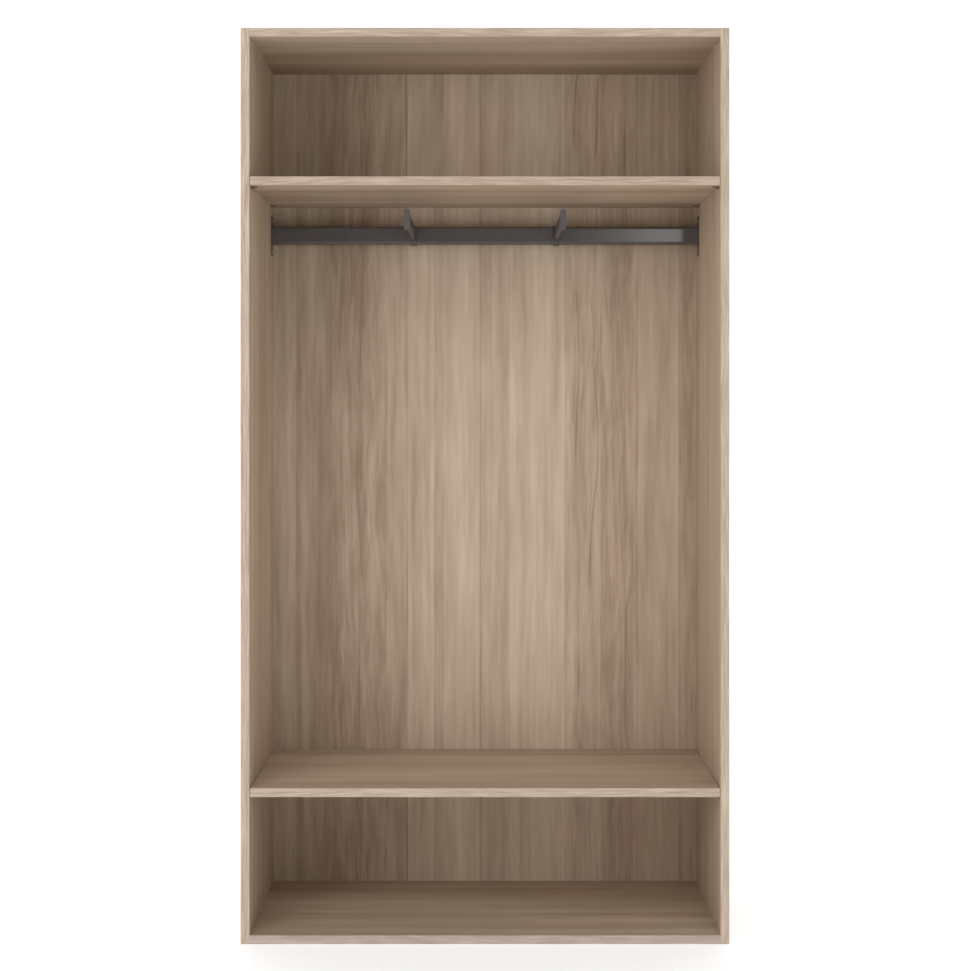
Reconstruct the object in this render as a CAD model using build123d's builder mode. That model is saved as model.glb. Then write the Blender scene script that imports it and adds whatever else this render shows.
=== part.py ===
"""Open wardrobe carcass with two loose shelves and two hanger arms that face the front.

Frame: +Z up, front towards -Y, origin on the floor at the centre of the footprint.
Lengths are in millimetres.
"""
import os

from build123d import *

os.makedirs("parts", exist_ok=True)

# Carcass
WIDTH = 1000
DEPTH = 350
HEIGHT = 1875
BOARD = 18
EDGING = 1
BACK_SHEET = 3
BACK_RECESS = 7
GROOVE_DEPTH = 8
GROOVE_PLAY = 0.1
SHEET_IN_GROOVE = 7

# Shelves and their pins
UPPER_SHELF_BASE = 1553
LOWER_SHELF_BASE = 301
SHELF_END_GAP = 1
SHELF_REAR_GAP = 2
PIN_PLUG_RADIUS = 2.5
PIN_PLUG_LENGTH = 8
PIN_HOLE_DEPTH = 9
PIN_BELOW_SHELF = 2.8
PIN_RIB_LENGTH = 6
PIN_TAB_LENGTH = 14
PIN_TAB_WIDTH = 8
PIN_TAB_THICKNESS = 2
PIN_FROM_FRONT = (20, 300)

# Carcass joints: each corner has cam bolts and dowels
BOLT_FROM_FRONT = (60, 280)
DOWEL_FROM_FRONT = (100, 240)
CAM_FROM_END = 34
CAM_RADIUS = 7.5
CAM_LENGTH = 13
CAM_POCKET = 13.5
BOLT_RADIUS = 2.5
BOLT_HEAD_RADIUS = 3.5
BOLT_HEAD_LENGTH = 5
BOLT_IN_SIDE = 10
BOLT_BORE_RADIUS = 4
CAM_SLOT = 7.6
CROSS_SLOT = (9, 1.6, 2)
DOWEL_RADIUS = 4
DOWEL_IN_SIDE = 10
DOWEL_IN_PANEL = 20
DOWEL_SPARE = 1

# Rail and its end plates
RAIL_HEIGHT = 40
RAIL_DEPTH = 30
RAIL_WALL = 1.5
RAIL_CORNER = 6
RAIL_CENTRE_Z = 1485
RAIL_FROM_FRONT = 312
RAIL_END_GAP = 0.5
PLATE_HEIGHT = 90
PLATE_DEPTH = 28
PLATE_THICKNESS = 1.5
PLATE_CORNER = 5
PLATE_CENTRE_Z = 1485
PLATE_SCREW_SPREAD = 66
SPIGOT_LENGTH = 12
SPIGOT_WALL = 2
SPIGOT_PLAY = 0.3
SCREW_RADIUS = 2
SCREW_HEAD_RADIUS = 3.3
SCREW_HEAD_HEIGHT = 1.3
SCREW_IN_BOARD = 13
SCREW_CROSS = (3.6, 0.8, 0.8)

# Hanger arms
ARM_FROM_CENTRE = 161
ARM_WIDTH = 12.5
ARM_HEIGHT = 27
ARM_WALL = 1.5
ARM_CORNER = 6
ARM_CENTRE_Z = 1488
STOP_FROM_FRONT = 15
STOP_WIDTH = 12.5
STOP_HEIGHT = 44
STOP_THICKNESS = 4
STOP_CORNER = 6
STOP_EDGE = 1
STOP_CENTRE_Z = 1485
STOP_PLUG_LENGTH = 15
STOP_PLUG_PLAY = 0.2
SADDLE_PLAY = 0.4
SADDLE_WALL = 1.5
SET_SCREW_RADIUS = 2
SET_SCREW_LENGTH = 1.5
SET_SCREW_SOCKET_RADIUS = 1.1
SET_SCREW_SOCKET_DEPTH = 1

# Wall brackets on the top panel
BRACKET_FROM_CENTRE = 400
BRACKET_WIDTH = 44
BRACKET_BASE = 32
BRACKET_UPSTAND = 20
BRACKET_METAL = 2
BRACKET_SCREW_SPREAD = 24
BRACKET_SCREW_FROM_REAR = 19
BRACKET_SCREW_RADIUS = 2
BRACKET_SCREW_LENGTH = 14
BRACKET_HEAD_RADIUS = 3.8
BRACKET_HEAD_HEIGHT = 2.4
WALL_HOLE_RADIUS = 2.75

# Derived places
SIDES = {"left": -1, "right": 1}
FRONT_Y = -DEPTH / 2
REAR_Y = DEPTH / 2
BOARD_FRONT_Y = FRONT_Y + EDGING
INNER_X = WIDTH / 2 - BOARD
TOP_BASE_Z = HEIGHT - BOARD
BACK_REAR_Y = REAR_Y - BACK_RECESS
BACK_FRONT_Y = BACK_REAR_Y - BACK_SHEET
GROOVE_Y = (BACK_FRONT_Y - GROOVE_PLAY, BACK_REAR_Y + GROOVE_PLAY)
SHELF_END_X = INNER_X - SHELF_END_GAP
SHELF_REAR_Y = BACK_FRONT_Y - SHELF_REAR_GAP
RAIL_Y = FRONT_Y + RAIL_FROM_FRONT
RAIL_END_X = INNER_X - PLATE_THICKNESS - RAIL_END_GAP
STOP_FRONT_Y = FRONT_Y + STOP_FROM_FRONT
STOP_REAR_Y = STOP_FRONT_Y + STOP_THICKNESS
SADDLE_MARGIN = SADDLE_PLAY + SADDLE_WALL
SADDLE_FRONT_Y = RAIL_Y - RAIL_DEPTH / 2 - SADDLE_MARGIN
SADDLE_BASE_Z = RAIL_CENTRE_Z - RAIL_HEIGHT / 2 - SADDLE_MARGIN
BRACKET_SCREW_Y = REAR_Y - BRACKET_SCREW_FROM_REAR
BRACKET_TOP_Z = HEIGHT + BRACKET_METAL + BRACKET_UPSTAND
BOLT_YS = [FRONT_Y + distance for distance in BOLT_FROM_FRONT]
DOWEL_YS = [FRONT_Y + distance for distance in DOWEL_FROM_FRONT]
PIN_YS = [FRONT_Y + distance for distance in PIN_FROM_FRONT]
SCREW_ZS = [PLATE_CENTRE_Z + half * PLATE_SCREW_SPREAD / 2 for half in (-1, 1)]
BRACKET_SCREW_XS = [half * BRACKET_SCREW_SPREAD / 2 for half in (-1, 1)]
PANEL_BASES = {"top": TOP_BASE_Z, "bottom": 0}
SHELF_BASES = {"upper": UPPER_SHELF_BASE, "lower": LOWER_SHELF_BASE}


def block(x, y, z, mode=Mode.ADD):
    """Box between two values on each axis."""
    with Locations((min(x), min(y), min(z))):
        Box(
            abs(x[1] - x[0]),
            abs(y[1] - y[0]),
            abs(z[1] - z[0]),
            align=(Align.MIN, Align.MIN, Align.MIN),
            mode=mode,
        )


def rod(start, direction, radius, length, mode=Mode.ADD):
    """Round bar, or round hole with Mode.SUBTRACT, from start along direction."""
    with Locations(Plane(origin=start, z_dir=direction)):
        Cylinder(radius, length, align=(Align.CENTER, Align.CENTER, Align.MIN), mode=mode)


# Side panels: groove for the back, and holes for bolts, dowels, pins and screws
for side, sign in SIDES.items():
    outward = (sign, 0, 0)
    with BuildPart() as side_panel:
        block((sign * INNER_X, sign * WIDTH / 2), (BOARD_FRONT_Y, REAR_Y), (0, HEIGHT))
        groove_x = (sign * INNER_X, sign * (INNER_X + GROOVE_DEPTH))
        groove_z = (BOARD - GROOVE_DEPTH, TOP_BASE_Z + GROOVE_DEPTH)
        block(groove_x, GROOVE_Y, groove_z, Mode.SUBTRACT)
        for panel_base in PANEL_BASES.values():
            middle_z = panel_base + BOARD / 2
            for y in BOLT_YS:
                start = (sign * INNER_X, y, middle_z)
                rod(start, outward, BOLT_RADIUS, BOLT_IN_SIDE, Mode.SUBTRACT)
            for y in DOWEL_YS:
                start = (sign * INNER_X, y, middle_z)
                rod(start, outward, DOWEL_RADIUS, DOWEL_IN_SIDE + DOWEL_SPARE, Mode.SUBTRACT)
        for shelf_base in SHELF_BASES.values():
            for y in PIN_YS:
                start = (sign * INNER_X, y, shelf_base - PIN_BELOW_SHELF)
                rod(start, outward, PIN_PLUG_RADIUS, PIN_HOLE_DEPTH, Mode.SUBTRACT)
        for z in SCREW_ZS:
            start = (sign * INNER_X, RAIL_Y, z)
            rod(start, outward, SCREW_RADIUS, SCREW_IN_BOARD, Mode.SUBTRACT)
    side_panel.part.label = f"side_panel_{side}"
    export_step(side_panel.part, f"parts/side_panel_{side}.step")

    with BuildPart() as side_edging:
        block((sign * INNER_X, sign * WIDTH / 2), (FRONT_Y, BOARD_FRONT_Y), (0, HEIGHT))
    side_edging.part.label = f"side_edging_{side}"
    export_step(side_edging.part, f"parts/side_edging_{side}.step")

# Top and bottom panels: groove on the inner face, cam pockets in the outer face
for place, base_z in PANEL_BASES.items():
    is_top = place == "top"
    outer_z = base_z + BOARD if is_top else base_z
    inner_z = base_z if is_top else base_z + BOARD
    into_board = (0, 0, -1) if is_top else (0, 0, 1)
    groove_floor_z = inner_z - GROOVE_DEPTH * into_board[2]
    with BuildPart() as panel:
        block((-INNER_X, INNER_X), (BOARD_FRONT_Y, REAR_Y), (base_z, base_z + BOARD))
        block((-INNER_X, INNER_X), GROOVE_Y, (inner_z, groove_floor_z), Mode.SUBTRACT)
        for sign in SIDES.values():
            inward = (-sign, 0, 0)
            for y in BOLT_YS:
                pocket = (sign * (INNER_X - CAM_FROM_END), y, outer_z)
                rod(pocket, into_board, CAM_RADIUS, CAM_POCKET, Mode.SUBTRACT)
                start = (sign * INNER_X, y, base_z + BOARD / 2)
                rod(start, inward, BOLT_BORE_RADIUS, CAM_FROM_END, Mode.SUBTRACT)
            for y in DOWEL_YS:
                start = (sign * INNER_X, y, base_z + BOARD / 2)
                rod(start, inward, DOWEL_RADIUS, DOWEL_IN_PANEL + DOWEL_SPARE, Mode.SUBTRACT)
        if is_top:
            for sign in SIDES.values():
                for offset_x in BRACKET_SCREW_XS:
                    start = (sign * BRACKET_FROM_CENTRE + offset_x, BRACKET_SCREW_Y, HEIGHT)
                    rod(start, into_board, BRACKET_SCREW_RADIUS, BRACKET_SCREW_LENGTH, Mode.SUBTRACT)
    panel.part.label = f"{place}_panel"
    export_step(panel.part, f"parts/{place}_panel.step")

    with BuildPart() as panel_edging:
        block((-INNER_X, INNER_X), (FRONT_Y, BOARD_FRONT_Y), (base_z, base_z + BOARD))
    panel_edging.part.label = f"{place}_edging"
    export_step(panel_edging.part, f"parts/{place}_edging.step")

# Back panel: one thin sheet, held in the grooves on all four sides
with BuildPart() as back_panel:
    sheet_half = INNER_X + SHEET_IN_GROOVE
    sheet_z = (BOARD - SHEET_IN_GROOVE, TOP_BASE_Z + SHEET_IN_GROOVE)
    block((-sheet_half, sheet_half), (BACK_FRONT_Y, BACK_REAR_Y), sheet_z)
back_panel.part.label = "back_panel"
export_step(back_panel.part, "parts/back_panel.step")

# Loose shelves, each with its edging and the four pins that it lies on
for level, base_z in SHELF_BASES.items():
    with BuildPart() as shelf:
        block((-SHELF_END_X, SHELF_END_X), (BOARD_FRONT_Y, SHELF_REAR_Y), (base_z, base_z + BOARD))
    shelf.part.label = f"{level}_shelf"
    export_step(shelf.part, f"parts/{level}_shelf.step")

    with BuildPart() as shelf_edging:
        block((-SHELF_END_X, SHELF_END_X), (FRONT_Y, BOARD_FRONT_Y), (base_z, base_z + BOARD))
    shelf_edging.part.label = f"{level}_shelf_edging"
    export_step(shelf_edging.part, f"parts/{level}_shelf_edging.step")

    with BuildPart() as shelf_pins:
        pin_z = base_z - PIN_BELOW_SHELF
        tab_z = (base_z - PIN_TAB_THICKNESS, base_z)
        for sign in SIDES.values():
            tab_x = (sign * (INNER_X - PIN_TAB_LENGTH), sign * INNER_X)
            for y in PIN_YS:
                block(tab_x, (y - PIN_TAB_WIDTH / 2, y + PIN_TAB_WIDTH / 2), tab_z)
                start = (sign * (INNER_X - PIN_RIB_LENGTH), y, pin_z)
                rod(start, (sign, 0, 0), PIN_PLUG_RADIUS, PIN_RIB_LENGTH + PIN_PLUG_LENGTH)
    shelf_pins.part.label = f"{level}_shelf_pins"
    export_step(shelf_pins.part, f"parts/{level}_shelf_pins.step")

# Cam bolts: screwed into the sides, with a thick head inside each cam
with BuildPart() as cam_bolts:
    for base_z in PANEL_BASES.values():
        for sign in SIDES.values():
            for y in BOLT_YS:
                inward = (-sign, 0, 0)
                middle_z = base_z + BOARD / 2
                tip = (sign * (INNER_X + BOLT_IN_SIDE), y, middle_z)
                rod(tip, inward, BOLT_RADIUS, BOLT_IN_SIDE + CAM_FROM_END)
                neck = (sign * (INNER_X - CAM_FROM_END + BOLT_HEAD_LENGTH / 2), y, middle_z)
                rod(neck, inward, BOLT_HEAD_RADIUS, BOLT_HEAD_LENGTH)
cam_bolts.part.label = "cam_bolts"
export_step(cam_bolts.part, "parts/cam_bolts.step")

# Cam locks: round housings with a mouth for the bolt head and a cross slot on the face
with BuildPart() as cam_locks:
    for base_z in PANEL_BASES.values():
        is_top = base_z == TOP_BASE_Z
        face_z = HEIGHT if is_top else 0
        into_board = (0, 0, -1) if is_top else (0, 0, 1)
        middle_z = base_z + BOARD / 2
        slot_length, slot_width, slot_depth = CROSS_SLOT
        slot_z = (face_z, face_z + slot_depth * into_board[2])
        mouth_z = (middle_z - CAM_SLOT / 2, middle_z + CAM_SLOT / 2)
        for sign in SIDES.values():
            x = sign * (INNER_X - CAM_FROM_END)
            for y in BOLT_YS:
                rod((x, y, face_z), into_board, CAM_RADIUS, CAM_LENGTH)
                mouth_x = (x - sign * CAM_SLOT / 2, x + sign * CAM_RADIUS)
                mouth_y = (y - CAM_SLOT / 2, y + CAM_SLOT / 2)
                block(mouth_x, mouth_y, mouth_z, Mode.SUBTRACT)
                for along_x, along_y in ((slot_length, slot_width), (slot_width, slot_length)):
                    slot_x = (x - along_x / 2, x + along_x / 2)
                    slot_y = (y - along_y / 2, y + along_y / 2)
                    block(slot_x, slot_y, slot_z, Mode.SUBTRACT)
cam_locks.part.label = "cam_locks"
export_step(cam_locks.part, "parts/cam_locks.step")

# Dowels: across each corner joint, half hidden in the side and half in the panel
with BuildPart() as wood_dowels:
    for base_z in PANEL_BASES.values():
        for sign in SIDES.values():
            for y in DOWEL_YS:
                tip = (sign * (INNER_X + DOWEL_IN_SIDE), y, base_z + BOARD / 2)
                rod(tip, (-sign, 0, 0), DOWEL_RADIUS, DOWEL_IN_SIDE + DOWEL_IN_PANEL)
    chamfer(wood_dowels.edges().filter_by(GeomType.CIRCLE), 1)
wood_dowels.part.label = "wood_dowels"
export_step(wood_dowels.part, "parts/wood_dowels.step")

# Rail: round-cornered tube across the hanging space
with BuildPart() as rail_tube:
    with BuildSketch(Plane.YZ.offset(-RAIL_END_X)):
        with Locations((RAIL_Y, RAIL_CENTRE_Z)):
            RectangleRounded(RAIL_DEPTH, RAIL_HEIGHT, RAIL_CORNER)
            RectangleRounded(
                RAIL_DEPTH - 2 * RAIL_WALL,
                RAIL_HEIGHT - 2 * RAIL_WALL,
                RAIL_CORNER - RAIL_WALL,
                mode=Mode.SUBTRACT,
            )
    extrude(amount=2 * RAIL_END_X)
rail_tube.part.label = "rail_tube"
export_step(rail_tube.part, "parts/rail_tube.step")

# End plates: screwed to the sides, each with a hollow spigot inside the tube
spigot_depth = RAIL_DEPTH - 2 * (RAIL_WALL + SPIGOT_PLAY)
spigot_height = RAIL_HEIGHT - 2 * (RAIL_WALL + SPIGOT_PLAY)
spigot_corner = RAIL_CORNER - RAIL_WALL - SPIGOT_PLAY
for side, sign in SIDES.items():
    plate_face_x = INNER_X - PLATE_THICKNESS
    side_plane = Plane.YZ.offset(sign * INNER_X)
    with BuildPart() as rail_end_plate:
        with BuildSketch(side_plane):
            with Locations((RAIL_Y, PLATE_CENTRE_Z)):
                RectangleRounded(PLATE_DEPTH, PLATE_HEIGHT, PLATE_CORNER)
        extrude(amount=-sign * PLATE_THICKNESS)
        with BuildSketch(Plane.YZ.offset(sign * plate_face_x)):
            with Locations((RAIL_Y, RAIL_CENTRE_Z)):
                RectangleRounded(spigot_depth, spigot_height, spigot_corner)
                RectangleRounded(
                    spigot_depth - 2 * SPIGOT_WALL,
                    spigot_height - 2 * SPIGOT_WALL,
                    spigot_corner - SPIGOT_WALL,
                    mode=Mode.SUBTRACT,
                )
        extrude(amount=-sign * SPIGOT_LENGTH)
        for z in SCREW_ZS:
            with Locations(Plane(origin=(sign * plate_face_x, RAIL_Y, z), z_dir=(-sign, 0, 0))):
                CounterSinkHole(SCREW_RADIUS, SCREW_HEAD_RADIUS, depth=PLATE_THICKNESS)
    rail_end_plate.part.label = f"rail_end_plate_{side}"
    export_step(rail_end_plate.part, f"parts/rail_end_plate_{side}.step")

# Screws of the end plates: flat heads, flush with the plates
with BuildPart() as rail_plate_screws:
    for sign in SIDES.values():
        face_x = sign * (INNER_X - PLATE_THICKNESS)
        outward = (sign, 0, 0)
        slot_length, slot_width, slot_depth = SCREW_CROSS
        for z in SCREW_ZS:
            start = (face_x, RAIL_Y, z)
            rod(start, outward, SCREW_RADIUS, PLATE_THICKNESS + SCREW_IN_BOARD)
            with Locations(Plane(origin=start, z_dir=outward)):
                Cone(
                    SCREW_HEAD_RADIUS,
                    SCREW_RADIUS,
                    SCREW_HEAD_HEIGHT,
                    align=(Align.CENTER, Align.CENTER, Align.MIN),
                )
            slot_x = (face_x, face_x + sign * slot_depth)
            for along_y, along_z in ((slot_length, slot_width), (slot_width, slot_length)):
                slot_y = (RAIL_Y - along_y / 2, RAIL_Y + along_y / 2)
                slot_z = (z - along_z / 2, z + along_z / 2)
                block(slot_x, slot_y, slot_z, Mode.SUBTRACT)
rail_plate_screws.part.label = "rail_plate_screws"
export_step(rail_plate_screws.part, "parts/rail_plate_screws.step")

# Hanger arms: saddle round the rail, bar, end stop and set screw
for side, sign in SIDES.items():
    arm_x = sign * ARM_FROM_CENTRE
    with BuildPart() as arm_bar:
        with BuildSketch(Plane.XZ.offset(-SADDLE_FRONT_Y)):
            with Locations((arm_x, ARM_CENTRE_Z)):
                RectangleRounded(ARM_WIDTH, ARM_HEIGHT, ARM_CORNER)
                RectangleRounded(
                    ARM_WIDTH - 2 * ARM_WALL,
                    ARM_HEIGHT - 2 * ARM_WALL,
                    ARM_CORNER - ARM_WALL,
                    mode=Mode.SUBTRACT,
                )
        extrude(amount=SADDLE_FRONT_Y - STOP_REAR_Y)
    arm_bar.part.label = f"arm_bar_{side}"
    export_step(arm_bar.part, f"parts/arm_bar_{side}.step")

    with BuildPart() as arm_end_stop:
        with BuildSketch(Plane.XZ.offset(-STOP_REAR_Y)):
            with Locations((arm_x, STOP_CENTRE_Z)):
                RectangleRounded(STOP_WIDTH, STOP_HEIGHT, STOP_CORNER)
        extrude(amount=STOP_THICKNESS)
        fillet(arm_end_stop.faces().sort_by(Axis.Y)[0].edges(), STOP_EDGE)
        with BuildSketch(Plane.XZ.offset(-STOP_REAR_Y)):
            with Locations((arm_x, ARM_CENTRE_Z)):
                RectangleRounded(
                    ARM_WIDTH - 2 * (ARM_WALL + STOP_PLUG_PLAY),
                    ARM_HEIGHT - 2 * (ARM_WALL + STOP_PLUG_PLAY),
                    ARM_CORNER - ARM_WALL - STOP_PLUG_PLAY,
                )
        extrude(amount=-STOP_PLUG_LENGTH)
    arm_end_stop.part.label = f"arm_end_stop_{side}"
    export_step(arm_end_stop.part, f"parts/arm_end_stop_{side}.step")

    with BuildPart() as arm_saddle:
        with BuildSketch(Plane.YZ.offset(arm_x - ARM_WIDTH / 2)):
            with Locations((RAIL_Y, RAIL_CENTRE_Z)):
                RectangleRounded(
                    RAIL_DEPTH + 2 * SADDLE_MARGIN,
                    RAIL_HEIGHT + 2 * SADDLE_MARGIN,
                    RAIL_CORNER + SADDLE_MARGIN,
                )
                RectangleRounded(
                    RAIL_DEPTH + 2 * SADDLE_PLAY,
                    RAIL_HEIGHT + 2 * SADDLE_PLAY,
                    RAIL_CORNER + SADDLE_PLAY,
                    mode=Mode.SUBTRACT,
                )
        extrude(amount=ARM_WIDTH)
        screw_base = (arm_x, RAIL_Y, SADDLE_BASE_Z)
        rod(screw_base, (0, 0, 1), SET_SCREW_RADIUS, SADDLE_WALL, Mode.SUBTRACT)
    arm_saddle.part.label = f"arm_saddle_{side}"
    export_step(arm_saddle.part, f"parts/arm_saddle_{side}.step")

    with BuildPart() as arm_set_screw:
        rod(screw_base, (0, 0, 1), SET_SCREW_RADIUS, SET_SCREW_LENGTH)
        with BuildSketch(Plane.XY.offset(SADDLE_BASE_Z)):
            with Locations((arm_x, RAIL_Y)):
                RegularPolygon(SET_SCREW_SOCKET_RADIUS, 6)
        extrude(amount=SET_SCREW_SOCKET_DEPTH, mode=Mode.SUBTRACT)
    arm_set_screw.part.label = f"arm_set_screw_{side}"
    export_step(arm_set_screw.part, f"parts/arm_set_screw_{side}.step")

# Wall brackets: angles on the top panel, flush with the rear, that stop the wardrobe tipping
for side, sign in SIDES.items():
    bracket_x = sign * BRACKET_FROM_CENTRE
    bracket_ends = (bracket_x - BRACKET_WIDTH / 2, bracket_x + BRACKET_WIDTH / 2)
    with BuildPart() as wall_bracket:
        block(bracket_ends, (REAR_Y - BRACKET_BASE, REAR_Y), (HEIGHT, HEIGHT + BRACKET_METAL))
        block(bracket_ends, (REAR_Y - BRACKET_METAL, REAR_Y), (HEIGHT, BRACKET_TOP_Z))
        top_corners = wall_bracket.edges().filter_by(Axis.Y).group_by(Axis.Z)[-1]
        fillet(top_corners, PLATE_CORNER)
        hole_z = HEIGHT + BRACKET_METAL + BRACKET_UPSTAND / 2
        rod((bracket_x, REAR_Y, hole_z), (0, -1, 0), WALL_HOLE_RADIUS, BRACKET_METAL, Mode.SUBTRACT)
        for offset_x in BRACKET_SCREW_XS:
            start = (bracket_x + offset_x, BRACKET_SCREW_Y, HEIGHT)
            rod(start, (0, 0, 1), BRACKET_SCREW_RADIUS, BRACKET_METAL, Mode.SUBTRACT)
    wall_bracket.part.label = f"wall_bracket_{side}"
    export_step(wall_bracket.part, f"parts/wall_bracket_{side}.step")

# Screws of the wall brackets: round heads on the brackets
with BuildPart() as wall_bracket_screws:
    head_z = HEIGHT + BRACKET_METAL
    slot_length, slot_width, slot_depth = SCREW_CROSS
    slot_z = (head_z + BRACKET_HEAD_HEIGHT - slot_depth, head_z + BRACKET_HEAD_HEIGHT)
    for sign in SIDES.values():
        for offset_x in BRACKET_SCREW_XS:
            x = sign * BRACKET_FROM_CENTRE + offset_x
            top = (x, BRACKET_SCREW_Y, head_z)
            rod(top, (0, 0, -1), BRACKET_SCREW_RADIUS, BRACKET_METAL + BRACKET_SCREW_LENGTH)
            rod(top, (0, 0, 1), BRACKET_HEAD_RADIUS, BRACKET_HEAD_HEIGHT)
    rims = wall_bracket_screws.edges().filter_by(GeomType.CIRCLE).group_by(Axis.Z)[-1]
    fillet(rims, BRACKET_HEAD_HEIGHT / 2)
    for sign in SIDES.values():
        for offset_x in BRACKET_SCREW_XS:
            x = sign * BRACKET_FROM_CENTRE + offset_x
            for along_x, along_y in ((slot_length, slot_width), (slot_width, slot_length)):
                slot_x = (x - along_x / 2, x + along_x / 2)
                slot_y = (BRACKET_SCREW_Y - along_y / 2, BRACKET_SCREW_Y + along_y / 2)
                block(slot_x, slot_y, slot_z, Mode.SUBTRACT)
wall_bracket_screws.part.label = "wall_bracket_screws"
export_step(wall_bracket_screws.part, "parts/wall_bracket_screws.step")
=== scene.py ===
"""Open wardrobe carcass: materials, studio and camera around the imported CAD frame. Metres."""
import math

import bpy
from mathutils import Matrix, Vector


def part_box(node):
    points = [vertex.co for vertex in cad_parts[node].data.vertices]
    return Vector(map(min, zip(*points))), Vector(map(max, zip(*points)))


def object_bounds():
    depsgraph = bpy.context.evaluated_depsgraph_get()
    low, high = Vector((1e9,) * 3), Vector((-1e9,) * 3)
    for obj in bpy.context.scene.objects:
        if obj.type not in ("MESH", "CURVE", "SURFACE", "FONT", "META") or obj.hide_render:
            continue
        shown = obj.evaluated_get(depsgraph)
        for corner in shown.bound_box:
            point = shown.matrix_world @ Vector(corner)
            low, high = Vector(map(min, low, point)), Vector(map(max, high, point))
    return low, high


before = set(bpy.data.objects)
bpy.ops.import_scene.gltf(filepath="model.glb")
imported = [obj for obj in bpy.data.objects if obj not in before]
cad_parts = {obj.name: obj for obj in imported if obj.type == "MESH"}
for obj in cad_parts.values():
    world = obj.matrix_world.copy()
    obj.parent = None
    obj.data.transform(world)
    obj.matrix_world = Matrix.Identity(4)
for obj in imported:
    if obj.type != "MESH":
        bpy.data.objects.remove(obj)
cad_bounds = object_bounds()

# Camera: level and centred on the front
CAMERA_DISTANCE = 2.962
CAMERA_HEIGHT = 1.102
LENS_MM = 53.68
LENS_SHIFT_Y = -0.0823

# Studio: soft lobes of light, each (direction it comes from, sharpness, strength).
# The two sharp ones are what the rail's face mirrors.
LIGHT_LOBES = [
    ((0.0, 1.0, 0.0), 0.5, 1.05),
    ((0.0, 0.0, 1.0), 1.0, 0.47),
    ((-0.590, -0.640, 0.492), 10.0, 1.12),
    ((0.590, -0.640, 0.492), 10.0, 0.84),
    ((0.0, -0.7071, 0.7071), 20.0, 1.60),
    ((0.41, -3.26, 0.383), 5000.0, 16.0),
    ((0.39, -3.26, 0.383), 1200.0, 2.1),
]
LAMP_PLACE = (-1.8, -2.4, 2.0)
LAMP_AIM = (0.0, 0.0, 1.0)
LAMP_SIZE = 1.2
LAMP_WATTS = 9.5
WHITE = (1.0, 1.0, 1.0)
FLOOR_SIZE = 60.0
FLOOR_COLOUR = (0.80, 0.80, 0.80)
FLOOR_ROUGHNESS = 0.9
FLOOR_GLOW = 0.42

# Colours, linear
BOARD_DARK = (0.316, 0.230, 0.157)
BOARD_LIGHT = (0.647, 0.532, 0.396)
EDGING_DARK = (0.410, 0.306, 0.221)
EDGING_LIGHT = (0.710, 0.602, 0.464)
# Darker, greyer copy of the edging colours for the bottom's strip: painted shade near the floor
# and a painted cool reflection of the floor
SHADED_EDGING_DARK = (0.400, 0.326, 0.268)
SHADED_EDGING_LIGHT = (0.710, 0.600, 0.506)
PINK_CAST = (1.030, 0.968, 1.018)
OLIVE_CAST = (0.978, 1.002, 1.006)
CHIP_DARK = (0.250, 0.165, 0.090)
CHIP_LIGHT = (0.560, 0.410, 0.260)
RAIL_DARK = (0.096, 0.088, 0.084)
RAIL_LIGHT = (0.114, 0.104, 0.100)
ARM_DARK = (0.080, 0.070, 0.069)
ARM_LIGHT = (0.106, 0.094, 0.093)
ZINC_DARK = (0.42, 0.43, 0.44)
ZINC_LIGHT = (0.70, 0.71, 0.72)
CAST_ZINC_DARK = (0.34, 0.34, 0.35)
CAST_ZINC_LIGHT = (0.55, 0.55, 0.56)
BRONZE_DARK = (0.150, 0.100, 0.062)
BRONZE_LIGHT = (0.240, 0.160, 0.095)

# Grain: each layer is (cells per metre across, and along, seed shift, detail, roughness)
GRAIN_LAYERS = {
    "sway": (2.5, 0.8, 0, 1.0, 0.5),
    "ripple": (18, 7.0, 2, 2.0, 0.5),
    "broad": (9, 0.5, 3, 1.0, 0.5),
    "bands": (30, 0.35, 29, 1.0, 0.5),
    "streak": (80, 0.9, 5, 2.0, 0.5),
    "lines": (170, 0.7, 31, 2.0, 0.5),
    "patch": (28, 2.5, 41, 1.0, 0.5),
    "flame": (90, 8, 43, 2.0, 0.5),
    "flecks": (150, 13, 37, 2.0, 0.5),
    "fibre": (420, 11, 7, 3.0, 0.6),
    "pores": (700, 26, 11, 1.0, 0.5),
    "rings": (8.0, 0.32, 13, 1.5, 0.4),
}
SWAY_WIDTH = 0.022
RIPPLE_WIDTH = 0.006
RIPPLE_WIDTH_IN_FIGURE = 0.016
RING_COUNT = 22.0
PLAIN_FIGURE = 0.3
HUE_PER_METRE = 14
HUE_ALONG = 1.6
HUE_SEED_SHIFT = 47
CHIPS_PER_METRE = 420.0

# Edging: weight of its streaks and clouds, and cells per metre across and along them
EDGING_STREAKS = 2.0
EDGING_CLOUDS = 0.7
STREAK_CELLS = (320, 12.0)
CLOUD_CELLS = (90, 8.0)
EDGING_LEAN = 0.05

# Metal: cells per metre along and across the brushing, and in its clouds
BRUSHED_ALONG = 4.0
BRUSHED_ACROSS = 260.0
METAL_CLOUDS = 30.0

# Lines drawn on the boards. A joint of two staves has a pale line before its edge and a dark
# one after it, each (offset, sign)
CRACK_CORE = 0.0004
CRACK_EDGE = 0.0026
CRACK_TONE = -0.42
CRACK_SEED_STEP = 7.7
JOINT_LINES = ((-0.006, 1.0), (0.002, -1.0))
JOINT_HALF_WIDTH = 0.0012

# Depths: decor on a board's faces, broken edges of the boards, paler metal edges (wear plus
# painted highlight)
DECOR_SKIN = 0.0006
BROKEN_EDGE = 0.0003
WEAR_AND_HIGHLIGHT_RADIUS = 0.0008

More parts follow.
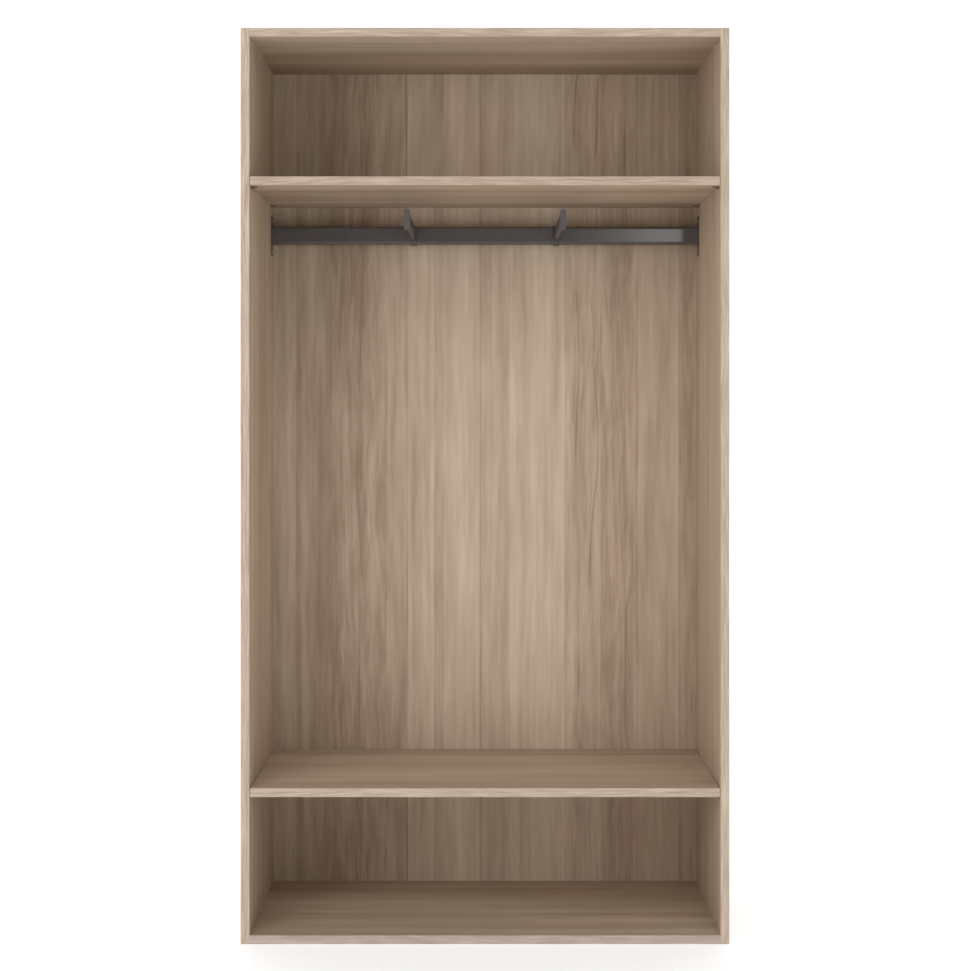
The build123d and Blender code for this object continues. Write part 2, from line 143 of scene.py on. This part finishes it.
# Weight of each layer of grain on the back, the sides and the boards that lie level
BACK_LAYERS = {
    "broad": 0.40, "bands": 0.27, "streak": 0.42, "lines": 0.04, "patch": 0.60,
    "flame": 0.60, "flecks": 0.55, "fibre": 0.12, "pores": -0.04, "rings": -0.10,
}
SIDE_LAYERS = {**BACK_LAYERS, "bands": 0.34, "streak": 0.36, "lines": 0.0, "flame": 0.28}
LEVEL_LAYERS = {
    **BACK_LAYERS, "broad": 1.05, "bands": 0.46, "streak": 0.12, "lines": 0.0, "patch": 0.42,
    "flame": 0.14, "flecks": 0.10, "rings": -0.04,
}

# Staves across the grain: (edge, tone, figure, olive, how clearly the joint at the edge shows)
BACK_STAVES = [
    (-0.50, 0.00, 0.3, 0.25, 0.0),
    (-0.43, -0.20, 0.2, 0.20, 0.0),
    (-0.354, -0.21, 1.0, 0.0, 0.0),
    (-0.224, -0.12, 0.2, 0.0, 0.0),
    (-0.176, 0.06, 0.1, 0.05, 0.0),
    (-0.115, -0.02, 0.0, -0.10, 0.15),
    (-0.095, 0.15, 0.0, -0.20, 0.0),
    (-0.012, 0.09, 0.2, -0.15, 0.25),
    (0.057, 0.27, 0.0, 0.15, 0.0),
    (0.182, 0.14, 1.0, -0.15, 0.15),
    (0.263, -0.06, 1.0, -0.15, 0.0),
    (0.346, 0.10, 0.1, -0.15, 0.25),
    (0.442, -0.05, 0.6, -0.20, 0.15),
]
PLAIN_STAVES = [
    (-0.20, 0.02, 0.2, 0.0, 0.0),
    (-0.09, -0.02, 0.7, 0.0, 0.0),
    (0.02, 0.03, 0.1, 0.0, 0.0),
    (0.11, -0.02, 0.5, 0.0, 0.0),
]
LEVEL_STAVES = PLAIN_STAVES[:3] + [(0.10, -0.12, 0.5, 0.0, 0.0)]

# Long cracks in the back: (centre, sway)
BACK_CRACKS = [(-0.285, 0.05), (-0.180, 0.02), (0.205, 0.06), (0.250, 0.09), (0.322, 0.03)]

# Middle tones, and the seeds and cracks that differ from board to board
BACK_LEVEL = 0.50
BACK_SEED = 1.0
SIDE_LEVEL = 0.65
SIDE_BOARDS = {"left": (31.0, (-0.04, 0.06)), "right": (47.0, (0.06, 0.05))}
LEVEL_BOARDS = {"top_panel": 0.48, "bottom_panel": 0.38, "upper_shelf": 0.54, "lower_shelf": 0.45}
LEVEL_BOARD_SEED = 61.0
LEVEL_BOARD_SEED_STEP = 13
LEVEL_CRACK_START = -0.08
LEVEL_CRACK_STEP = 0.03
LEVEL_CRACK_SWAY = 0.05
UPRIGHT_EDGINGS = {"side_edging_left": 0.42, "side_edging_right": 0.47}
LEVEL_EDGINGS = {"top_edging": 0.35, "upper_shelf_edging": 0.25, "lower_shelf_edging": 0.39}
# Lower middle tone of the bottom's edging: painted shade near the floor
SHADED_BOTTOM_EDGING_LEVEL = 0.26
UPRIGHT_EDGING_SEED = 5.0
LEVEL_EDGING_SEED = 9.0
DOWEL_SEED = 17.0
DOWEL_LEVEL = 0.50


class Nodes:
    """A node tree in which sockets and numbers pass from call to call."""

    def __init__(self, tree):
        self.tree = tree

    def add(self, kind, inputs=(), **settings):
        node = self.tree.nodes.new(kind)
        for key, value in settings.items():
            setattr(node, key, value)
        for key, value in dict(inputs).items():
            self.join(value, node.inputs[key])
        return node

    def join(self, value, socket):
        if isinstance(value, bpy.types.NodeSocket):
            self.tree.links.new(value, socket)
        elif hasattr(value, "__len__") and len(value) == 3 and socket.type == "RGBA":
            socket.default_value = (*value, 1.0)
        else:
            socket.default_value = value

    def split(self, vector):
        return self.add("ShaderNodeSeparateXYZ", {0: vector}).outputs

    def vector(self, x, y, z):
        return self.add("ShaderNodeCombineXYZ", {0: x, 1: y, 2: z}).outputs[0]

    def math(self, operation, *values, clamp=False):
        inputs = dict(enumerate(values))
        return self.add("ShaderNodeMath", inputs, operation=operation, use_clamp=clamp).outputs[0]

    def total(self, *terms):
        """Sum of (weight, value) pairs."""
        result = 0.0
        for weight, value in terms:
            result = self.math("MULTIPLY_ADD", value, weight, result)
        return result

    def noise(self, vector, detail=2.0, roughness=0.5):
        inputs = {"Vector": vector, "Scale": 1.0, "Detail": detail, "Roughness": roughness}
        return self.add("ShaderNodeTexNoise", inputs).outputs["Fac"]

    def ramp(self, value, low, high):
        """0 below low, 1 above high, smooth between."""
        inputs = {"Value": value, "From Min": low, "From Max": high}
        return self.add("ShaderNodeMapRange", inputs, interpolation_type="SMOOTHSTEP").outputs[0]

    def mix(self, factor, first, second, blend="MIX"):
        inputs = {0: factor, 6: first, 7: second}
        node = self.add("ShaderNodeMix", inputs, data_type="RGBA", blend_type=blend)
        return node.outputs[2]


class Material(Nodes):
    """A material's node tree, with the place and the facing of the shaded point by axis."""

    def __init__(self, name):
        self.material = bpy.data.materials.new(name)
        self.material.use_nodes = True
        super().__init__(self.material.node_tree)
        self.shader = self.tree.nodes["Principled BSDF"]
        coordinates = self.add("ShaderNodeTexCoord").outputs
        self.place = dict(zip("XYZ", self.split(coordinates["Object"])))
        self.facing = dict(zip("XYZ", self.split(coordinates["Normal"])))

    def set(self, **inputs):
        for key, value in inputs.items():
            self.join(value, self.shader.inputs[key.replace("_", " ")])

    def bump(self, height, strength, distance):
        inputs = {"Height": height, "Strength": strength, "Distance": distance}
        self.join(self.add("ShaderNodeBump", inputs).outputs[0], self.shader.inputs["Normal"])


def stretched(n, across, through, along, fine, long, shift):
    """Noise space with `fine` cells per metre across the grain and `long` along it."""
    return n.vector(
        n.math("MULTIPLY_ADD", across, fine, shift),
        n.math("MULTIPLY", through, fine / 4),
        n.math("MULTIPLY", along, long),
    )


def crack_line(n, across, along, centre, sway, seed):
    """One thin crack that wanders along the grain about centre, with gaps."""
    bend = n.noise(n.vector(seed, 0.0, n.math("MULTIPLY", along, 1.7)), 2.0, 0.45)
    middle = n.math("MULTIPLY_ADD", n.math("SUBTRACT", bend, 0.5), sway, centre)
    distance = n.math("ABSOLUTE", n.math("SUBTRACT", across, middle))
    line = n.math("SUBTRACT", 1.0, n.ramp(distance, CRACK_CORE, CRACK_EDGE))
    present = n.noise(n.vector(seed, 4.0, n.math("MULTIPLY", along, 2.6)), 2.0)
    return n.math("MULTIPLY", line, n.ramp(present, 0.42, 0.58))


def by_stave(n, across, staves, column):
    """One column of the list of staves, as a value that holds along each stave."""
    value = staves[0][column]
    for before, stave in zip(staves, staves[1:]):
        if stave[column] != before[column]:
            beyond = n.math("GREATER_THAN", across, stave[0])
            value = n.math("MULTIPLY_ADD", beyond, stave[column] - before[column], value)
    return value


def grain(n, across, through, along, seed, figure=PLAIN_FIGURE):
    """The layers of oak grain that run along one axis, most of them about zero.

    figure says how strongly the wood is rippled, flecked and ringed."""
    def layer(place, name):
        fine, long, shift, detail, roughness = GRAIN_LAYERS[name]
        space = stretched(n, place, through, along, fine, long, seed + shift)
        return n.math("SUBTRACT", n.noise(space, detail, roughness), 0.5)

    waviness = n.math("MULTIPLY_ADD", figure, RIPPLE_WIDTH_IN_FIGURE, RIPPLE_WIDTH)
    ripple = n.math("MULTIPLY", layer(across, "ripple"), waviness)
    bent = n.total((SWAY_WIDTH, layer(across, "sway")), (1.0, ripple), (1.0, across))
    g = {name: layer(bent, name) for name in BACK_LAYERS}
    g["flecks"] = n.math("MULTIPLY", figure, g["flecks"])
    g["pores"] = n.ramp(g["pores"], 0.10, 0.22)
    rings = n.math("FRACT", n.math("MULTIPLY", g["rings"], RING_COUNT))
    g["rings"] = n.math("MULTIPLY", figure, n.math("POWER", rings, 4.0))
    return g


def tinted(n, colour, across, through, along, seed, olive=0.0):
    """The colour, drifting a little between pink and olive along the grain."""
    shift = seed + HUE_SEED_SHIFT
    hue = n.noise(stretched(n, across, through, along, HUE_PER_METRE, HUE_ALONG, shift), 2.0)
    tint = n.mix(n.math("ADD", hue, olive), PINK_CAST, OLIVE_CAST)
    return n.mix(1.0, colour, tint, blend="MULTIPLY")


def chipboard(n):
    """Colour of a raw particle board edge."""
    place = n.vector(*n.place.values())
    inputs = {"Vector": place, "Scale": CHIPS_PER_METRE, "Randomness": 1.0}
    chips = n.add("ShaderNodeTexVoronoi", inputs)
    return n.mix(n.split(chips.outputs["Color"])[0], CHIP_DARK, CHIP_LIGHT)


def decor(name, along, face, seed, level, staves, layers, cracks):
    """Melamine oak decor on one board, with raw chipboard inside its holes and at its rear.

    along is the grain's axis, face is the axis across the board's thickness, level is the
    board's middle tone, layers gives each layer of grain its weight, and cracks is a list of
    (centre, sway)."""
    n = Material(name)
    across = n.place[next(axis for axis in "XYZ" if axis not in (along, face))]
    through, lengthways = n.place[face], n.place[along]
    low, high = (getattr(corner, face.lower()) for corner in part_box(name))
    g = grain(n, across, through, lengthways, seed, by_stave(n, across, staves, 2))
    weighted = [(weight, g[layer]) for layer, weight in layers.items()]
    tone = n.total((1.0, by_stave(n, across, staves, 1)), (level, 1.0), *weighted)
    worst = 0.0
    for number, (centre, sway) in enumerate(cracks):
        line = crack_line(n, across, lengthways, centre, sway, seed + CRACK_SEED_STEP * number)
        worst = n.math("MAXIMUM", line, worst)
    tone = n.math("MULTIPLY_ADD", worst, CRACK_TONE, tone)
    for edge, *_, clarity in staves:
        for offset, sign in JOINT_LINES if clarity else ():
            on_line = n.math("COMPARE", across, edge + offset, JOINT_HALF_WIDTH)
            tone = n.math("MULTIPLY_ADD", on_line, sign * clarity, tone)
    wood = n.mix(n.math("MINIMUM", n.math("MAXIMUM", tone, 0.0), 1.0), BOARD_DARK, BOARD_LIGHT)
    olive = by_stave(n, across, staves, 3)
    wood = tinted(n, wood, across, through, lengthways, seed, olive)
    square = n.math("GREATER_THAN", n.math("ABSOLUTE", n.facing[face]), 0.5)
    at_low = n.math("LESS_THAN", through, low + DECOR_SKIN)
    at_high = n.math("GREATER_THAN", through, high - DECOR_SKIN)
    on_face = n.math("MULTIPLY", square, n.math("MAXIMUM", at_low, at_high))
    n.set(Base_Color=n.mix(on_face, chipboard(n), wood))
    n.set(Roughness=n.total((0.16, g["fibre"]), (0.50, 1.0)), Specular_IOR_Level=0.08)
    n.bump(n.total((0.5, g["fibre"]), (-0.6, g["pores"]), (-0.5, worst)), 0.25, 0.0004)
    return n.material


def edging(name, along, across, seed, level, dark=EDGING_DARK, light=EDGING_LIGHT):
    """Pale edging strip with the flowing lines of sawn oak along it."""
    n = Material(name)
    sideways, through, lengthways = n.place[across], n.place["Y"], n.place[along]
    g = grain(n, sideways, through, lengthways, seed)
    lean = n.noise(n.vector(seed, 0.0, n.math("MULTIPLY", lengthways, 2.5)), 1.0)
    leaning = n.math("MULTIPLY_ADD", lean, EDGING_LEAN, sideways)
    place = (n, leaning, through, lengthways)
    streaks = n.noise(stretched(*place, *STREAK_CELLS, seed), 3.0, 0.6)
    clouds = n.noise(stretched(*place, *CLOUD_CELLS, seed + 5), 2.0)
    fine = ((0.3, g["streak"]), (0.3, g["fibre"]), (-0.1, g["pores"]))
    tone = n.total((EDGING_STREAKS, streaks), (EDGING_CLOUDS, clouds), *fine)
    middle = (EDGING_STREAKS + EDGING_CLOUDS) / 2
    tone = n.math("ADD", tone, level - middle, clamp=True)
    wood = n.mix(tone, dark, light)
    n.set(Base_Color=tinted(n, wood, sideways, through, lengthways, seed))
    n.set(Roughness=n.total((0.15, g["fibre"]), (0.48, 1.0)), Specular_IOR_Level=0.4)
    n.bump(n.total((0.5, g["fibre"]), (-0.5, g["pores"])), 0.2, 0.0003)
    return n.material


def satin_metal(name, dark, light, metallic, roughness, brushed, specular=0.5, relief=1.0):
    """Metal with a fine cloudy tone, brushed along one axis, and edges paled by wear and a
    painted highlight.
    """
    n = Material(name)
    rates = [BRUSHED_ALONG if axis == brushed else BRUSHED_ACROSS for axis in "XYZ"]
    places = list(n.place.values())
    brushing = n.vector(*(n.math("MULTIPLY", at, rate) for at, rate in zip(places, rates)))
    lines = n.noise(brushing, 3.0, 0.6)
    clouds = n.noise(n.vector(*(n.math("MULTIPLY", at, METAL_CLOUDS) for at in places)), 2.0)
    # Paler band along every edge: partly wear, partly a painted highlight
    rounded = n.add("ShaderNodeBevel", {"Radius": WEAR_AND_HIGHLIGHT_RADIUS}, samples=4).outputs[0]
    flat = n.add("ShaderNodeNewGeometry").outputs["Normal"]
    agreement = n.add("ShaderNodeVectorMath", {0: rounded, 1: flat}, operation="DOT_PRODUCT")
    wear_and_highlight = n.math("SUBTRACT", 1.0, n.ramp(agreement.outputs["Value"], 0.80, 0.99))
    tone = n.total((0.6, clouds), (0.4, lines), (0.45, wear_and_highlight))
    rough_terms = ((0.14 * relief, lines), (0.08 * relief, clouds))
    n.set(Base_Color=n.mix(n.math("MINIMUM", tone, 1.0), dark, light))
    n.set(Roughness=n.total(*rough_terms, (roughness - 0.11 * relief, 1.0)))
    n.set(Metallic=metallic, Specular_IOR_Level=specular)
    n.bump(lines, 0.12 * relief, 0.0002)
    return n.material


def dress(material, *names):
    """Give CAD nodes a material."""
    for name in names:
        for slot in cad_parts[name].material_slots:
            slot.material = material


def soften(name):
    """Join the faces of a CAD node and break its sharp edges."""
    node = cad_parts[name]
    weld = node.modifiers.new("joined", "WELD")
    weld.merge_threshold = 0.00001
    bevel = node.modifiers.new("broken_edges", "BEVEL")
    bevel.width = BROKEN_EDGE
    bevel.segments = 2
    bevel.limit_method = "ANGLE"
    bevel.angle_limit = math.radians(50)
    bevel.harden_normals = True


def dress_boards():
    """Oak decor on every board."""
    back = (BACK_STAVES, BACK_LAYERS, BACK_CRACKS)
    dress(decor("back_panel", "Z", "Y", BACK_SEED, BACK_LEVEL, *back), "back_panel")
    for side, (seed, crack) in SIDE_BOARDS.items():
        board = f"side_panel_{side}"
        oak = decor(board, "Z", "X", seed, SIDE_LEVEL, PLAIN_STAVES, SIDE_LAYERS, [crack])
        dress(oak, board)
    for order, (board, level) in enumerate(LEVEL_BOARDS.items()):
        cracks = [(LEVEL_CRACK_STEP * order + LEVEL_CRACK_START, LEVEL_CRACK_SWAY)]
        seed = LEVEL_BOARD_SEED + LEVEL_BOARD_SEED_STEP * order
        dress(decor(board, "X", "Z", seed, level, LEVEL_STAVES, LEVEL_LAYERS, cracks), board)


def dress_edgings():
    """Edging on every board's front; the bottom's is darker and greyer, painted shade and a
    painted reflection of the floor.
    """
    for strip, level in UPRIGHT_EDGINGS.items():
        dress(edging(strip, "Z", "X", UPRIGHT_EDGING_SEED, level), strip)
    for strip, level in LEVEL_EDGINGS.items():
        dress(edging(strip, "X", "Z", LEVEL_EDGING_SEED, level), strip)
    # The bottom's strip gets the darker, greyer copy: painted shade and a painted reflection of
    # the floor
    shaded_grey = (SHADED_EDGING_DARK, SHADED_EDGING_LIGHT)
    bottom = edging("bottom_edging", "X", "Z", LEVEL_EDGING_SEED, SHADED_BOTTOM_EDGING_LEVEL, *shaded_grey)
    dress(bottom, "bottom_edging")


def dress_fittings():
    """Dark steel on the rail and arms, zinc, bronze and beech on the small fittings."""
    rail = satin_metal("rail_metal", RAIL_DARK, RAIL_LIGHT, 0.0, 0.12, "X", 0.25, 0.15)
    arm = satin_metal("arm_metal", ARM_DARK, ARM_LIGHT, 0.0, 0.40, "Y", 0.20)
    zinc = satin_metal("zinc", ZINC_DARK, ZINC_LIGHT, 1.0, 0.38, "Y")
    cast_zinc = satin_metal("cast_zinc", CAST_ZINC_DARK, CAST_ZINC_LIGHT, 0.9, 0.50, "Z")
    bronze = satin_metal("bronze", BRONZE_DARK, BRONZE_LIGHT, 0.3, 0.42, "X")
    dress(rail, "rail_tube")
    for side in ("left", "right"):
        dress(rail, f"rail_end_plate_{side}")
        dress(arm, f"arm_bar_{side}", f"arm_end_stop_{side}", f"arm_saddle_{side}")
        dress(zinc, f"arm_set_screw_{side}", f"wall_bracket_{side}")
    dress(zinc, "rail_plate_screws", "cam_bolts", "wall_bracket_screws")
    dress(bronze, "upper_shelf_pins", "lower_shelf_pins")
    dress(cast_zinc, "cam_locks")
    dress(edging("dowel_beech", "X", "Z", DOWEL_SEED, DOWEL_LEVEL), "wood_dowels")


def studio_floor():
    """Plain pale floor that fades into the white of the studio."""
    bpy.ops.mesh.primitive_plane_add(size=FLOOR_SIZE)
    floor = bpy.context.object
    floor.name = "studio_floor"
    n = Material("studio_floor")
    n.set(Base_Color=FLOOR_COLOUR, Roughness=FLOOR_ROUGHNESS)
    n.set(Emission_Color=WHITE, Emission_Strength=FLOOR_GLOW)
    floor.data.materials.append(n.material)


def studio_light():
    """Surroundings of soft light, white behind the object, and one large lamp at the left."""
    scene = bpy.context.scene
    world = bpy.data.worlds.new("studio")
    world.use_nodes = True
    n = Nodes(world.node_tree)
    towards = n.add("ShaderNodeTexCoord").outputs["Generated"]
    light = 0.0
    for axis, sharpness, strength in LIGHT_LOBES:
        inputs = {0: towards, 1: Vector(axis).normalized()}
        ahead = n.add("ShaderNodeVectorMath", inputs, operation="DOT_PRODUCT").outputs["Value"]
        lobe = n.math("POWER", n.math("MAXIMUM", ahead, 0.0), sharpness)
        light = n.math("MULTIPLY_ADD", lobe, strength, light)
    background = n.tree.nodes["Background"]
    n.join(light, background.inputs["Strength"])
    n.join(WHITE, background.inputs["Color"])
    scene.world = world
    scene.view_settings.view_transform = "Standard"

    data = bpy.data.lights.new("lamp", "AREA")
    data.shape = "DISK"
    data.size = LAMP_SIZE
    data.energy = LAMP_WATTS
    lamp = bpy.data.objects.new("lamp", data)
    scene.collection.objects.link(lamp)
    lamp.location = LAMP_PLACE
    aim = Vector(LAMP_AIM) - Vector(LAMP_PLACE)
    lamp.rotation_euler = aim.to_track_quat("-Z", "Y").to_euler()


def camera():
    """Level camera that looks at the front."""
    data = bpy.data.cameras.new("camera")
    data.lens = LENS_MM
    data.shift_y = LENS_SHIFT_Y
    obj = bpy.data.objects.new("camera", data)
    bpy.context.scene.collection.objects.link(obj)
    obj.location = (0.0, cad_bounds[0].y - CAMERA_DISTANCE, CAMERA_HEIGHT)
    obj.rotation_euler = (math.radians(90), 0.0, 0.0)
    bpy.context.scene.camera = obj


dress_boards()
dress_edgings()
dress_fittings()
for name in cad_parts:
    if name.endswith(("_panel", "_shelf")) or "edging" in name or "side_panel" in name:
        soften(name)
studio_floor()
studio_light()
camera()
